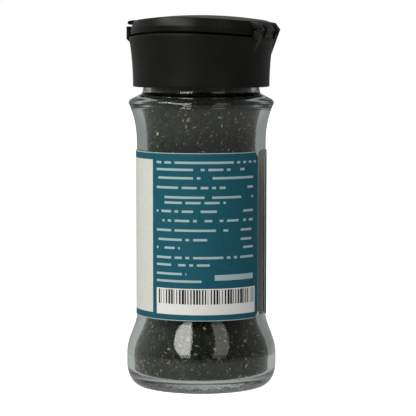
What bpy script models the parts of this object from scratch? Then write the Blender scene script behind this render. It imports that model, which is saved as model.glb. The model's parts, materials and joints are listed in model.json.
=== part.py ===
# A glass spice jar filled with dried wakame flakes, with its paper label and black flip-top cap.
# Metres, +Z up. The origin is on the jar's axis, in the plane that the jar stands on.
# The thumb lip and the front of the label face -Y, and the hinge and the label's seam are at +Y.

import math
import random

import bmesh
import bpy
from mathutils import Matrix, Vector

MM = 0.001
SEGMENTS = 40  # sides of every turned piece; all start at +X, so their facets line up
SMOOTH_ANGLE = math.radians(32)
GOLDEN_ANGLE = math.pi * (3 - math.sqrt(5))
MERGE_DISTANCE = 0.001 * MM

# glass jar, outside
STAND_INNER_RADIUS = 14.5 * MM  # the flat ring that the jar stands on
STAND_RADIUS = 18.5 * MM
PUNT_RISE = 1.4 * MM  # hollow of the base inside that ring
PUNT_BEND = (0.6, 0.8)  # where the hollow bends: share of the ring's radius, and of the rise
FOOT_RADIUS = 23.0 * MM
HEEL_HEIGHT = 6.9 * MM
FOOT_TOP = 10.2 * MM
WAIST_RADIUS = 19.8 * MM
WAIST_BOTTOM = 23.2 * MM
WAIST_TOP = 74.0 * MM
SHOULDER_RADIUS = 22.25 * MM
SHOULDER_HEIGHT = 86.9 * MM
SHOULDER_ROUNDING = 1.57 * MM
NECK_RADIUS = 17.74 * MM
NECK_BOTTOM = 90.5 * MM
NECK_FILLET = (0.6 * MM, 0.7 * MM)  # out and down, where the shoulder meets the neck
NECK_BEAD_RADIUS = 18.5 * MM
NECK_BEAD_HEIGHT = 98.1 * MM
NECK_BEAD_HALF = 0.6 * MM  # half of the bead's flat
NECK_BEAD_SLOPES = (0.8 * MM, 1.2 * MM)  # heights of its lower and upper slope
JAR_HEIGHT = 103.1 * MM
MOUTH_CHAMFER = 0.5 * MM
FLARE_POWER = 2.4  # how late the shoulder opens out of the straight waist

# glass jar, inside
WELL_FOOT_RADIUS = 20.8 * MM
WELL_FLOOR = 3.6 * MM
WELL_CORNER = 2.5 * MM
WELL_FOOT_TOP = 9.4 * MM
WELL_WAIST_RADIUS = 16.8 * MM
WELL_SHOULDER_RADIUS = 18.7 * MM
WELL_SHOULDER_HEIGHT = 86.1 * MM
WELL_SHOULDER_ROUNDING = (1.8 * MM, 2.6 * MM)
WELL_NECK_BOTTOM = 90.0 * MM
MOUTH_RADIUS = 15.7 * MM

# paper label
LABEL_RADIUS = 20.1 * MM
LABEL_THICKNESS = 0.15 * MM
LABEL_BOTTOM = 22.25 * MM
LABEL_TOP = 72.65 * MM
LABEL_CORNER = 3.0 * MM
SEAM_WIDTH = 5.6 * MM
SEAM_CENTRE = 0.35 * MM  # the gap lies a little to the +X side of the hinge

# cap body
SKIRT_BOTTOM = 92.0 * MM
SKIRT_BOTTOM_RADIUS = 20.9 * MM
RIM_RADIUS = 22.1 * MM
RIM_TOP = 108.25 * MM
RIM_STRAIGHT = 1.2 * MM  # height of the straight band under the rim
RIM_CHAMFER = 0.2 * MM
SKIRT_POWER = 2.0
SKIRT_WALL = 1.5 * MM
RIM_WALL = 1.3 * MM
DECK_TOP = 104.9 * MM
DECK_THICKNESS = 1.2 * MM
SNAP_BEAD_RADIUS = 18.05 * MM
SNAP_BEAD_HEIGHT = 95.0 * MM
SNAP_BEAD_HALF = 0.4 * MM
SNAP_BEAD_SLOPE = 0.9 * MM
PLUG_RADIUS = 15.35 * MM
PLUG_WALL = 1.0 * MM
PLUG_BOTTOM = 101.7 * MM
RIM_DROP = 1.45 * MM  # how much lower the rim is at the front and the hinge than at the sides
DROP_TOP = 107.4 * MM  # below this height the drop fades away, down to the deck
HOLE_RADIUS = 1.6 * MM
HOLE_SIDES = 10
HOLE_RINGS = ((1, 0.0), (6, 5.6 * MM), (12, 11.2 * MM))  # holes in each ring, and its radius

# lid
LID_RADIUS = 21.6 * MM
LID_BOTTOM = 108.85 * MM
LID_WALL_TOP = 110.55 * MM
LID_EDGE_RADIUS = 20.7 * MM
LID_EDGE_HEIGHT = 113.0 * MM
LID_EDGE_CHAMFER = 0.25 * MM
LID_TOP = 113.8 * MM
LID_WALL = 1.3 * MM
SEAL_RADIUS = 18.0 * MM
SEAL_WALL = 1.0 * MM
SEAL_GAP = 0.4 * MM  # from the ring to the deck
LID_CLEARANCE = 0.35 * MM  # between the lid's wall and what stands round it

# hinge: three straps folded outwards, with slots between them
HINGE_Y = 22.83 * MM
HINGE_Z = 109.35 * MM
HINGE_HALF_WIDTH = 8.1 * MM
SLOT_INNER_X = 3.2 * MM
SLOT_OUTER_X = 5.6 * MM
SLOT_FLOOR = 106.4 * MM
STRAP_TIP = 0.08 * MM  # the straps end this far inside the fold line
FOLD_GAP = 0.3 * MM  # the thin film at the fold is left out here
BRACKET_FOOT_Y = 19.55 * MM
BRACKET_FOOT_Z = 101.0 * MM
STRAP_TOP_Y = 21.3 * MM
STRAP_TOP_Z = 111.4 * MM
STRAP_BEVEL = 0.2 * MM
SLIT_DEPTH = 0.7 * MM  # of the small recesses under the fold line
SLIT_TOP = 0.4 * MM  # below the fold line
SLITS = ((2.0 * MM, 0.8 * MM, 1.1 * MM), (6.7 * MM, 1.3 * MM, 1.9 * MM))  # x, width and height, on both sides
ROOT_DEPTH = 1.0 * MM  # how far the straps, the plate and the lip are sunk into the walls they grow from
RIM_LAP = 0.05 * MM  # below the rim's top, so that no two faces coincide there

# front plate on the cap body, and the thumb lip over it on the lid
PLATE_HALF_ANGLE = math.radians(20)
PLATE_RADIUS = 22.9 * MM
PLATE_BOTTOM = 105.5 * MM
PLATE_TOP = 110.35 * MM
PLATE_CHAMFER = 1.0 * MM
LIP_RADIUS = 22.6 * MM
LIP_BOTTOM = 110.85 * MM
LIP_TOP = 112.3 * MM
LIP_UNDERCUT = (0.5 * MM, 0.4 * MM)  # in and up, at its lower edge
LIP_EDGE = 0.35 * MM  # height of its upright edge
LIP_ROUNDING = (0.4 * MM, 0.45 * MM)  # in and up, from its edge to its top
LIP_CREST_RADIUS = 20.4 * MM  # where its top is highest
LIP_TAIL = (18.6 * MM, 111.9 * MM)  # radius and height where its top runs into the dome
LIP_TAIL_DEPTH = 0.5 * MM
SECTOR_STEPS = 4

# wakame flakes
FLAKES_GAP = 0.3 * MM  # to the glass
FLAKES_TOP = 100.7 * MM
RELIEF_PITCH = 3.4 * MM  # larger than life: real grains are under 1 mm
RELIEF_LOW = 1.3 * MM
RELIEF_HIGH = 0.3 * MM
RELIEF_SHIFT = 0.25  # of the pitch, sideways
CHIP_COUNT = 120
CHIP_LENGTH = (2.6 * MM, 5.6 * MM)
CHIP_WIDTH = (1.2 * MM, 3.2 * MM)
CHIP_THICKNESS = 1.8 * MM
CHIP_TAPER = (0.2, 0.8)  # width of its thin end, beside the thick one
CHIP_LEAN = math.radians(14)  # so that one edge stands proud
CHIP_DEPTH = (0.05 * MM, 0.35 * MM)  # of a chip's outermost corner, inside the reach of the flakes
SEED = 12


def clear_scene():
    for piece in list(bpy.data.objects):
        bpy.data.objects.remove(piece, do_unlink=True)


def make_material(name, colour, roughness, transmission=0.0):
    material = bpy.data.materials.new(name)
    material.use_nodes = True
    shader = material.node_tree.nodes["Principled BSDF"]
    shader.inputs["Base Color"].default_value = (*colour, 1.0)
    shader.inputs["Roughness"].default_value = roughness
    shader.inputs["Metallic"].default_value = 0.0
    shader.inputs["Transmission Weight"].default_value = transmission
    return material


# outlines: lists of (radius, height)

def arc(centre, radii, start, end, steps):
    """Points on an ellipse about centre, from one angle to another in degrees."""
    angles = [math.radians(start + (end - start) * i / steps) for i in range(steps + 1)]
    return [(centre[0] + radii[0] * math.cos(a), centre[1] + radii[1] * math.sin(a)) for a in angles]


def s_curve(start, end, steps):
    """A smooth step in radius between two heights."""
    points = []
    for i in range(steps + 1):
        share = i / steps
        blend = (1 - math.cos(math.pi * share)) / 2
        points.append((start[0] + (end[0] - start[0]) * blend, start[1] + (end[1] - start[1]) * share))
    return points


def flare(start, end, power, steps):
    """A radius that leaves start slowly and opens towards end."""
    points = []
    for i in range(steps + 1):
        share = i / steps
        points.append((start[0] + (end[0] - start[0]) * share**power, start[1] + (end[1] - start[1]) * share))
    return points


def jar_outside():
    """The glass from the middle of the base to the top of the neck."""
    heel = (FOOT_RADIUS - STAND_RADIUS, HEEL_HEIGHT)
    shoulder = (SHOULDER_RADIUS - SHOULDER_ROUNDING, SHOULDER_HEIGHT)
    bead_low = NECK_BEAD_HEIGHT - NECK_BEAD_HALF
    bead_high = NECK_BEAD_HEIGHT + NECK_BEAD_HALF
    return (
        [(0.0, PUNT_RISE), (STAND_INNER_RADIUS * PUNT_BEND[0], PUNT_RISE * PUNT_BEND[1])]
        + [(STAND_INNER_RADIUS, 0.0)]
        + arc((STAND_RADIUS, HEEL_HEIGHT), heel, -90, 0, 4)
        + s_curve((FOOT_RADIUS, FOOT_TOP), (WAIST_RADIUS, WAIST_BOTTOM), 6)
        + flare((WAIST_RADIUS, WAIST_TOP), (SHOULDER_RADIUS, SHOULDER_HEIGHT), FLARE_POWER, 5)
        + arc(shoulder, (SHOULDER_ROUNDING, SHOULDER_ROUNDING), 23, 70, 2)
        + [(NECK_RADIUS + NECK_FILLET[0], NECK_BOTTOM - NECK_FILLET[1]), (NECK_RADIUS, NECK_BOTTOM)]
        + [(NECK_RADIUS, bead_low - NECK_BEAD_SLOPES[0]), (NECK_BEAD_RADIUS, bead_low)]
        + [(NECK_BEAD_RADIUS, bead_high), (NECK_RADIUS, bead_high + NECK_BEAD_SLOPES[1])]
        + [(NECK_RADIUS, JAR_HEIGHT - MOUTH_CHAMFER), (NECK_RADIUS - MOUTH_CHAMFER, JAR_HEIGHT)]
    )


def jar_well():
    """The inner wall of the glass from the mouth down to the floor."""
    corner = (WELL_FOOT_RADIUS - WELL_CORNER, WELL_FLOOR + WELL_CORNER)
    shoulder = (WELL_SHOULDER_RADIUS - WELL_SHOULDER_ROUNDING[0], WELL_SHOULDER_HEIGHT)
    wall = flare(
        (WELL_WAIST_RADIUS, WAIST_TOP), (WELL_SHOULDER_RADIUS, WELL_SHOULDER_HEIGHT), FLARE_POWER, 4
    )
    return (
        [(MOUTH_RADIUS + MOUTH_CHAMFER, JAR_HEIGHT), (MOUTH_RADIUS, JAR_HEIGHT - MOUTH_CHAMFER)]
        + [(MOUTH_RADIUS, WELL_NECK_BOTTOM)]
        + arc(shoulder, WELL_SHOULDER_ROUNDING, 90, 30, 2)
        + wall[::-1]
        + s_curve((WELL_WAIST_RADIUS, WAIST_BOTTOM), (WELL_FOOT_RADIUS, WELL_FOOT_TOP), 5)
        + arc(corner, (WELL_CORNER, WELL_CORNER), 0, -90, 3)
        + [(0.0, WELL_FLOOR)]
    )


def cap_outline():
    """The cap body from the middle of the deck, out over the rim, down the skirt and back inside."""
    deck_bottom = DECK_TOP - DECK_THICKNESS
    skirt = flare(
        (SKIRT_BOTTOM_RADIUS, SKIRT_BOTTOM), (RIM_RADIUS, RIM_TOP - RIM_STRAIGHT), SKIRT_POWER, 5
    )
    skirt_inside = SKIRT_BOTTOM_RADIUS - SKIRT_WALL
    bead_low = SNAP_BEAD_HEIGHT - SNAP_BEAD_HALF
    bead_high = SNAP_BEAD_HEIGHT + SNAP_BEAD_HALF
    return (
        [(0.0, DECK_TOP), (RIM_RADIUS - RIM_WALL, DECK_TOP), (RIM_RADIUS - RIM_WALL, RIM_TOP)]
        + [(RIM_RADIUS - RIM_CHAMFER, RIM_TOP), (RIM_RADIUS, RIM_TOP - RIM_CHAMFER)]
        + skirt[::-1]
        + [(skirt_inside, SKIRT_BOTTOM), (skirt_inside, bead_low - SNAP_BEAD_SLOPE)]
        + [(SNAP_BEAD_RADIUS, bead_low), (SNAP_BEAD_RADIUS, bead_high)]
        + [(skirt_inside, bead_high + SNAP_BEAD_SLOPE), (skirt_inside, deck_bottom)]
        + [(PLUG_RADIUS, deck_bottom), (PLUG_RADIUS, PLUG_BOTTOM)]
        + [(PLUG_RADIUS - PLUG_WALL, PLUG_BOTTOM), (PLUG_RADIUS - PLUG_WALL, deck_bottom)]
        + [(0.0, deck_bottom)]
    )


def dome_height(radius):
    rise = LID_TOP - LID_EDGE_HEIGHT
    return LID_TOP - rise * (radius / LID_EDGE_RADIUS) ** 2


def lid_outline():
    """The lid from the top of its dome, down the outer wall and back inside over the sealing ring."""
    inside = LID_RADIUS - LID_WALL
    ceiling_edge = LID_EDGE_RADIUS - LID_WALL
    seal_bottom = DECK_TOP + SEAL_GAP
    seal_inside = SEAL_RADIUS - SEAL_WALL
    dome = [(LID_EDGE_RADIUS * share, dome_height(LID_EDGE_RADIUS * share)) for share in (0, 0.4, 0.75, 0.98)]
    return (
        dome
        + [(LID_EDGE_RADIUS, LID_EDGE_HEIGHT - LID_EDGE_CHAMFER), (LID_RADIUS, LID_WALL_TOP)]
        + [(LID_RADIUS, LID_BOTTOM), (inside, LID_BOTTOM), (inside, LID_WALL_TOP)]
        + [(ceiling_edge, dome_height(ceiling_edge) - LID_WALL)]
        + [(SEAL_RADIUS, dome_height(SEAL_RADIUS) - LID_WALL), (SEAL_RADIUS, seal_bottom)]
        + [(seal_inside, seal_bottom), (seal_inside, dome_height(seal_inside) - LID_WALL)]
        + [(0.0, LID_TOP - LID_WALL)]
    )


def drop(y, height):
    """How far the cap's curved top lies lower than in its outline, at a distance from the middle."""
    share = min(1.0, max(0.0, (height - DECK_TOP) / (DROP_TOP - DECK_TOP)))
    return RIM_DROP * share * (y / RIM_RADIUS) ** 2


# solids

def new_object(name, bm):
    bmesh.ops.recalc_face_normals(bm, faces=bm.faces)
    mesh = bpy.data.meshes.new(name)
    bm.to_mesh(mesh)
    bm.free()
    piece = bpy.data.objects.new(name, mesh)
    bpy.context.scene.collection.objects.link(piece)
    return piece


def spin_outline(bm, outline, closed, angle, steps):
    """Turns an outline about +Z, starting at +X."""
    ring = [bm.verts.new((radius, 0.0, height)) for radius, height in outline]
    pairs = list(zip(ring, ring[1:]))
    if closed:
        pairs.append((ring[-1], ring[0]))
    edges = [bm.edges.new(pair) for pair in pairs]
    full = math.isclose(angle, math.tau)
    turned = bmesh.ops.spin(
        bm, geom=ring + edges, cent=(0, 0, 0), axis=(0, 0, 1), angle=angle, steps=steps, use_merge=full
    )
    bmesh.ops.remove_doubles(bm, verts=bm.verts, dist=MERGE_DISTANCE)
    return ring, [part for part in turned["geom_last"] if isinstance(part, bmesh.types.BMVert)]


def turned_solid(name, outline, closed=False):
    bm = bmesh.new()
    spin_outline(bm, outline, closed, math.tau, SEGMENTS)
    return new_object(name, bm)


def turned_sector(name, outline, middle, half_angle, steps):
    """A closed outline turned through a sector whose middle is at the given angle from +X."""
    bm = bmesh.new()
    start, end = spin_outline(bm, outline, True, 2 * half_angle, steps)
    bm.faces.new(start)
    bm.faces.new(end)
    bmesh.ops.rotate(bm, verts=bm.verts, cent=(0, 0, 0), matrix=Matrix.Rotation(middle - half_angle, 3, "Z"))
    return new_object(name, bm)


def prism(name, corners, sweep):
    """A flat outline of 3-D corners pushed along the vector sweep."""
    bm = bmesh.new()
    face = bm.faces.new([bm.verts.new(corner) for corner in corners])
    pushed = bmesh.ops.extrude_face_region(bm, geom=[face])
    verts = [part for part in pushed["geom"] if isinstance(part, bmesh.types.BMVert)]
    bmesh.ops.translate(bm, verts=verts, vec=sweep)
    return new_object(name, bm)


def side_prism(name, outline, low_x, high_x):
    """A (y, z) outline that reaches from low_x to high_x."""
    corners = [(low_x, y, z) for y, z in outline]
    return prism(name, corners, (high_x - low_x, 0, 0))


def bevel(piece, width):
    modifier = piece.modifiers.new("edge", "BEVEL")
    modifier.width = width
    modifier.segments = 1
    modifier.limit_method = "ANGLE"
    apply_modifiers(piece)


def apply_modifiers(piece):
    depsgraph = bpy.context.evaluated_depsgraph_get()
    applied = bpy.data.meshes.new_from_object(piece.evaluated_get(depsgraph))
    piece.modifiers.clear()
    piece.data = applied


def curve_top(piece):
    """Bends the top of a turned piece of the cap down towards the front and the hinge."""
    for vert in piece.data.vertices:
        vert.co.z -= drop(vert.co.y, vert.co.z)


def boolean(target, others, operation):
    """Joins or cuts target with all the others at once, and removes them."""
    group = bpy.data.collections.new("operands")
    for other in others:
        group.objects.link(other)
    modifier = target.modifiers.new("join", "BOOLEAN")
    modifier.operation = operation
    modifier.solver = "EXACT"
    modifier.operand_type = "COLLECTION"
    modifier.collection = group
    apply_modifiers(target)
    for other in others:
        bpy.data.objects.remove(other, do_unlink=True)
    bpy.data.collections.remove(group)


def finish(piece, material, smooth=True):
    piece.data.materials.clear()
    piece.data.materials.append(material)
    if smooth:
        piece.data.shade_smooth()
        piece.data.set_sharp_from_angle(angle=SMOOTH_ANGLE)


def move_origin(piece, point):
    piece.data.transform(Matrix.Translation(-Vector(point)))
    piece.location = point


# the five pieces

def make_jar():
    jar = turned_solid("glass_jar", jar_outside() + jar_well())
    finish(jar, make_material("clear_glass", (0.85, 0.9, 0.88), 0.03, transmission=1.0))


def seam_cutter():
    """The gap between the label's ends, widened at top and bottom by its round corners."""
    left = SEAM_CENTRE - SEAM_WIDTH / 2
    right = SEAM_CENTRE + SEAM_WIDTH / 2
    radii = (LABEL_CORNER, LABEL_CORNER)
    low = LABEL_BOTTOM + LABEL_CORNER
    high = LABEL_TOP - LABEL_CORNER
    past = 10 * LABEL_THICKNESS
    outline = (
        [(left - LABEL_CORNER, LABEL_BOTTOM - past), (right + LABEL_CORNER, LABEL_BOTTOM - past)]
        + arc((right + LABEL_CORNER, low), radii, 270, 180, 4)
        + arc((right + LABEL_CORNER, high), radii, 180, 90, 4)
        + [(right + LABEL_CORNER, LABEL_TOP + past), (left - LABEL_CORNER, LABEL_TOP + past)]
        + arc((left - LABEL_CORNER, high), radii, 90, 0, 4)
        + arc((left - LABEL_CORNER, low), radii, 0, -90, 4)
    )
    reach = (0, 2 * LABEL_RADIUS, 0)
    return prism("seam", [(x, 0.5 * LABEL_RADIUS, z) for x, z in outline], reach)


def make_label():
    inside = LABEL_RADIUS - LABEL_THICKNESS
    outline = [
        (inside, LABEL_BOTTOM),
        (LABEL_RADIUS, LABEL_BOTTOM),
        (LABEL_RADIUS, LABEL_TOP),
        (inside, LABEL_TOP),
    ]
    label = turned_solid("label", outline, closed=True)
    boolean(label, [seam_cutter()], "DIFFERENCE")
    finish(label, make_material("printed_paper", (0.019, 0.105, 0.14), 0.5))


def sifter_holes():
    holes = []
    for count, ring_radius in HOLE_RINGS:
        for i in range(count):
            bm = bmesh.new()
            bmesh.ops.create_cone(
                bm, cap_ends=True, segments=HOLE_SIDES, radius1=HOLE_RADIUS, radius2=HOLE_RADIUS,
                depth=3 * DECK_THICKNESS,
            )
            angle = math.tau * i / count
            middle = DECK_TOP - DECK_THICKNESS / 2
            place = (ring_radius * math.cos(angle), ring_radius * math.sin(angle), middle)
            bmesh.ops.translate(bm, verts=bm.verts, vec=place)
            holes.append(new_object("hole", bm))
    return holes


def strap_spans():
    """The x ranges of the three hinge straps."""
    return (
        (-HINGE_HALF_WIDTH, -SLOT_OUTER_X),
        (-SLOT_INNER_X, SLOT_INNER_X),
        (SLOT_OUTER_X, HINGE_HALF_WIDTH),
    )


def bracket_y(height):
    """How far out the sloping face of the fixed bracket reaches at a height."""
    share = (height - BRACKET_FOOT_Z) / (HINGE_Z - BRACKET_FOOT_Z)
    return BRACKET_FOOT_Y + (HINGE_Y - STRAP_TIP - BRACKET_FOOT_Y) * share


def fixed_hinge_half():
    """The bracket on the cap body and the lower halves of the straps, hollowed to the cap's wall."""
    back = RIM_RADIUS - 4 * ROOT_DEPTH
    tip_z = HINGE_Z - FOLD_GAP / 2
    root = [(back, BRACKET_FOOT_Z), (BRACKET_FOOT_Y, BRACKET_FOOT_Z)]
    bracket = side_prism(
        "bracket", root + [(bracket_y(SLOT_FLOOR), SLOT_FLOOR), (back, SLOT_FLOOR)],
        -HINGE_HALF_WIDTH, HINGE_HALF_WIDTH,
    )
    straps = [
        side_prism("strap", root + [(bracket_y(tip_z), tip_z), (back, tip_z)], low, high)
        for low, high in strap_spans()
    ]
    boolean(bracket, straps, "UNION")
    wall_middle = RIM_RADIUS - ROOT_DEPTH
    lid_room = LID_RADIUS + LID_CLEARANCE
    step = rim_low()
    hollow = turned_solid(
        "hollow",
        [(0, SKIRT_BOTTOM), (wall_middle, SKIRT_BOTTOM), (wall_middle, step)]
        + [(lid_room, step), (lid_room, LID_TOP), (0, LID_TOP)],
    )
    slits = [fold_slit(side * x, width, height) for x, width, height in SLITS for side in (-1, 1)]
    boolean(bracket, [hollow] + slits, "DIFFERENCE")
    return bracket


def fold_slit(x, width, height):
    top = HINGE_Z - SLIT_TOP
    bottom = top - height
    inner = HINGE_Y - STRAP_TIP - SLIT_DEPTH
    outer = HINGE_Y + SLIT_DEPTH
    outline = [(inner, bottom), (outer, bottom), (outer, top), (inner, top)]
    return side_prism("slit", outline, x - width / 2, x + width / 2)


def rim_low():
    """Just below the lowest part of the rim's top."""
    return RIM_TOP - drop(RIM_RADIUS, RIM_TOP) - RIM_LAP


def front_plate():
    inside = LID_RADIUS + LID_CLEARANCE
    root = RIM_RADIUS - ROOT_DEPTH
    outline = [
        (root, PLATE_BOTTOM),
        (PLATE_RADIUS - PLATE_CHAMFER, PLATE_BOTTOM),
        (PLATE_RADIUS, PLATE_BOTTOM + PLATE_CHAMFER),
        (PLATE_RADIUS, PLATE_TOP),
        (inside, PLATE_TOP),
        (inside, rim_low()),
        (root, rim_low()),
    ]
    return turned_sector("plate", outline, -math.pi / 2, PLATE_HALF_ANGLE, SECTOR_STEPS)


def make_cap_body():
    cap = turned_solid("cap_body", cap_outline())
    curve_top(cap)
    boolean(cap, [fixed_hinge_half(), front_plate()], "UNION")
    boolean(cap, sifter_holes(), "DIFFERENCE")
    finish(cap, make_material("black_moulded_plastic", (0.012, 0.012, 0.011), 0.35))


def moving_hinge_half():
    """The upper halves of the straps on the lid, hollowed to the lid's wall."""
    back = LID_RADIUS - 4 * ROOT_DEPTH
    tip_z = HINGE_Z + FOLD_GAP / 2
    outline = [
        (back, tip_z), (HINGE_Y - STRAP_TIP, tip_z), (STRAP_TOP_Y, STRAP_TOP_Z), (back, STRAP_TOP_Z),
    ]
    straps = [side_prism("strap", outline, low, high) for low, high in strap_spans()]
    wall_middle = LID_RADIUS - ROOT_DEPTH
    hollow = [(0, SKIRT_BOTTOM), (wall_middle, SKIRT_BOTTOM), (wall_middle, LID_TOP), (0, LID_TOP)]
    for strap in straps:
        bevel(strap, STRAP_BEVEL)
        boolean(strap, [turned_solid("hollow", hollow)], "DIFFERENCE")
    return straps


def thumb_lip():
    root = LID_RADIUS - ROOT_DEPTH
    edge = LIP_BOTTOM + LIP_UNDERCUT[1]
    shoulder = edge + LIP_EDGE + LIP_ROUNDING[1]
    outline = [
        (root, LIP_BOTTOM),
        (LIP_RADIUS - LIP_UNDERCUT[0], LIP_BOTTOM),
        (LIP_RADIUS, edge),
        (LIP_RADIUS, edge + LIP_EDGE),
        (LIP_RADIUS - LIP_ROUNDING[0], shoulder),
        (LIP_CREST_RADIUS, LIP_TOP),
        LIP_TAIL,
        (LIP_TAIL[0], LIP_TAIL[1] - LIP_TAIL_DEPTH),
        (root, LIP_BOTTOM + LIP_TAIL_DEPTH),
    ]
    return turned_sector("lip", outline, -math.pi / 2, PLATE_HALF_ANGLE, SECTOR_STEPS)


def make_lid():
    lid = turned_solid("lid", lid_outline())
    curve_top(lid)
    boolean(lid, moving_hinge_half() + [thumb_lip()], "UNION")
    finish(lid, make_material("black_lid_plastic", (0.014, 0.014, 0.013), 0.32))
    move_origin(lid, (0.0, HINGE_Y, HINGE_Z))


def flakes_reach():
    """The outline that the flakes fill: the jar's well, a gap inside the glass, cut off at the neck."""
    floor = WELL_FLOOR + FLAKES_GAP
    wall = [
        (max(0.0, radius - FLAKES_GAP), max(floor, height))
        for radius, height in jar_well()[::-1]
        if height < NECK_BOTTOM
    ]
    neck = MOUTH_RADIUS - FLAKES_GAP
    crown = [(neck, FLAKES_TOP - RELIEF_PITCH / 2), (neck - RELIEF_PITCH, FLAKES_TOP), (0.0, FLAKES_TOP)]
    return wall + crown


def subdivided(points, pitch):
    """The same line with more points, about one pitch apart, and its corners kept."""
    spaced = [points[0]]
    for start, end in zip(points, points[1:]):
        rows = max(1, round(math.dist(start, end) / pitch))
        for i in range(1, rows + 1):
            share = i / rows
            spaced.append((start[0] + (end[0] - start[0]) * share, start[1] + (end[1] - start[1]) * share))
    return spaced


def roughen(bm, draw):
    """Sinks each point by its own depth, and shifts it sideways, so that the facets lie like crumbs."""
    bm.normal_update()
    moves = {}
    for vert in bm.verts:
        depth = draw.uniform(RELIEF_HIGH, RELIEF_LOW)
        sideways = Vector((-vert.co.y, vert.co.x, 0.0))
        if sideways.length > 2 * RELIEF_PITCH:
            sideways = sideways.normalized() * draw.uniform(-RELIEF_SHIFT, RELIEF_SHIFT) * RELIEF_PITCH
        else:
            sideways = Vector()
        moves[vert] = sideways - vert.normal * depth
    for vert, move in moves.items():
        vert.co += move


def reach_at(reach, height):
    """The radius of an outline at a height."""
    for (low_radius, low), (high_radius, high) in zip(reach, reach[1:]):
        if low <= height <= high and low < high:
            return low_radius + (high_radius - low_radius) * (height - low) / (high - low)
    return MOUTH_RADIUS - FLAKES_GAP


def chip(reach, height, angle, draw):
    """One flake, a tapered splinter lying in the surface at a height and an angle, its root sunk in."""
    length = draw.uniform(*CHIP_LENGTH)
    width = draw.uniform(*CHIP_WIDTH)
    bm = bmesh.new()
    bmesh.ops.create_cube(bm, size=1.0)
    for vert in bm.verts:
        taper = 1.0 if vert.co.x < 0 else draw.uniform(*CHIP_TAPER)
        vert.co = Vector((vert.co.x * length, vert.co.y * width * taper, (vert.co.z - 0.5) * CHIP_THICKNESS))
    radius = reach_at(reach, height)
    step = CHIP_WIDTH[1]
    slope = math.atan2(reach_at(reach, height + step) - reach_at(reach, height - step), 2 * step)
    lean = Matrix.Rotation(draw.uniform(-CHIP_LEAN, CHIP_LEAN), 4, "X")
    spin = Matrix.Rotation(draw.uniform(0, math.pi), 4, "Z") @ lean
    tilt = Matrix.Rotation(math.pi / 2 - slope, 4, "Y")
    bmesh.ops.transform(bm, matrix=Matrix.Translation((radius, 0, height)) @ tilt @ spin, verts=bm.verts)
    sag = radius * (1 - math.cos(math.pi / SEGMENTS))
    beyond = max(math.hypot(vert.co.x, vert.co.y) + sag - reach_at(reach, vert.co.z) for vert in bm.verts)
    inward = Matrix.Translation((-beyond - draw.uniform(*CHIP_DEPTH), 0, 0))
    bmesh.ops.transform(bm, matrix=Matrix.Rotation(angle, 4, "Z") @ inward, verts=bm.verts)
    return new_object("chip", bm)


def scattered_chips(reach, draw):
    """Chips spread evenly over the wall, each a golden angle on from the last."""
    low = WELL_FLOOR + CHIP_LENGTH[1] / 2
    rise = WELL_SHOULDER_HEIGHT - low
    chips = []
    for i in range(CHIP_COUNT):
        height = low + rise * (i + draw.random()) / CHIP_COUNT
        chips.append(chip(reach, height, i * GOLDEN_ANGLE, draw))
    return chips


def make_flakes():
    draw = random.Random(SEED)
    reach = subdivided(flakes_reach(), RELIEF_PITCH)
    bm = bmesh.new()
    spin_outline(bm, reach, False, math.tau, SEGMENTS)
    bmesh.ops.recalc_face_normals(bm, faces=bm.faces)
    roughen(bm, draw)
    bmesh.ops.triangulate(bm, faces=bm.faces)
    flakes = new_object("wakame_flakes", bm)
    boolean(flakes, scattered_chips(reach, draw), "UNION")
    finish(flakes, make_material("dried_wakame", (0.028, 0.03, 0.024), 0.85), smooth=False)


def main():
    clear_scene()
    make_jar()
    make_flakes()
    make_label()
    make_cap_body()
    make_lid()


main()
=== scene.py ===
import json
import math
import random

import bmesh
import bpy
import numpy as np
from mathutils import Matrix, Vector

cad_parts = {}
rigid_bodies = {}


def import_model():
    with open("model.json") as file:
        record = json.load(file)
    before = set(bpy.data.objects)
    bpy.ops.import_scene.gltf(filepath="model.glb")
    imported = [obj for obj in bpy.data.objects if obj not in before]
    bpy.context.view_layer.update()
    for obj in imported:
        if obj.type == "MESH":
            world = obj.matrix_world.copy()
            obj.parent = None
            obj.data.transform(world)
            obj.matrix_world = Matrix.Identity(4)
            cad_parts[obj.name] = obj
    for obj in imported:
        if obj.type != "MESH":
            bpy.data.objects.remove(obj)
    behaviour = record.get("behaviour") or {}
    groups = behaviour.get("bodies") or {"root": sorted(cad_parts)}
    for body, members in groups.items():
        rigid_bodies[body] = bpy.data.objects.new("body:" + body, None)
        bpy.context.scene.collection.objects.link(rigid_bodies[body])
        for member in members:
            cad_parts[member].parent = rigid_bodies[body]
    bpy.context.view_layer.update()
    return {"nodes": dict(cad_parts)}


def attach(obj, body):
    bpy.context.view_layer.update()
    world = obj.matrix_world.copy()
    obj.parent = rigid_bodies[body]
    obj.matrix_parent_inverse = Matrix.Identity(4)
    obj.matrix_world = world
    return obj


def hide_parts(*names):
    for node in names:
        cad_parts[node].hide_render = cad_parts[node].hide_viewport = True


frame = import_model()
mm = 0.001
print("frame loaded:", ", ".join(sorted(frame["nodes"])))


# materials

def linear(hexColour):
    values = [int(hexColour[i:i + 2], 16) / 255 for i in (1, 3, 5)]
    return [v / 12.92 if v <= 0.04045 else ((v + 0.055) / 1.055) ** 2.4 for v in values] + [1.0]


def addNode(tree, kind, settings=None, inputs=None):
    node = tree.nodes.new(kind)
    node.location = (220 * (len(tree.nodes) % 12), -260 * (len(tree.nodes) // 12))
    for name, value in (settings or {}).items():
        setattr(node, name, value)
    for key, value in (inputs or {}).items():
        if isinstance(value, bpy.types.NodeSocket):
            tree.links.new(value, node.inputs[key])
        else:
            node.inputs[key].default_value = value
    return node


def feed(node, key, value):
    node.id_data.links.new(value, node.inputs[key])


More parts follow.
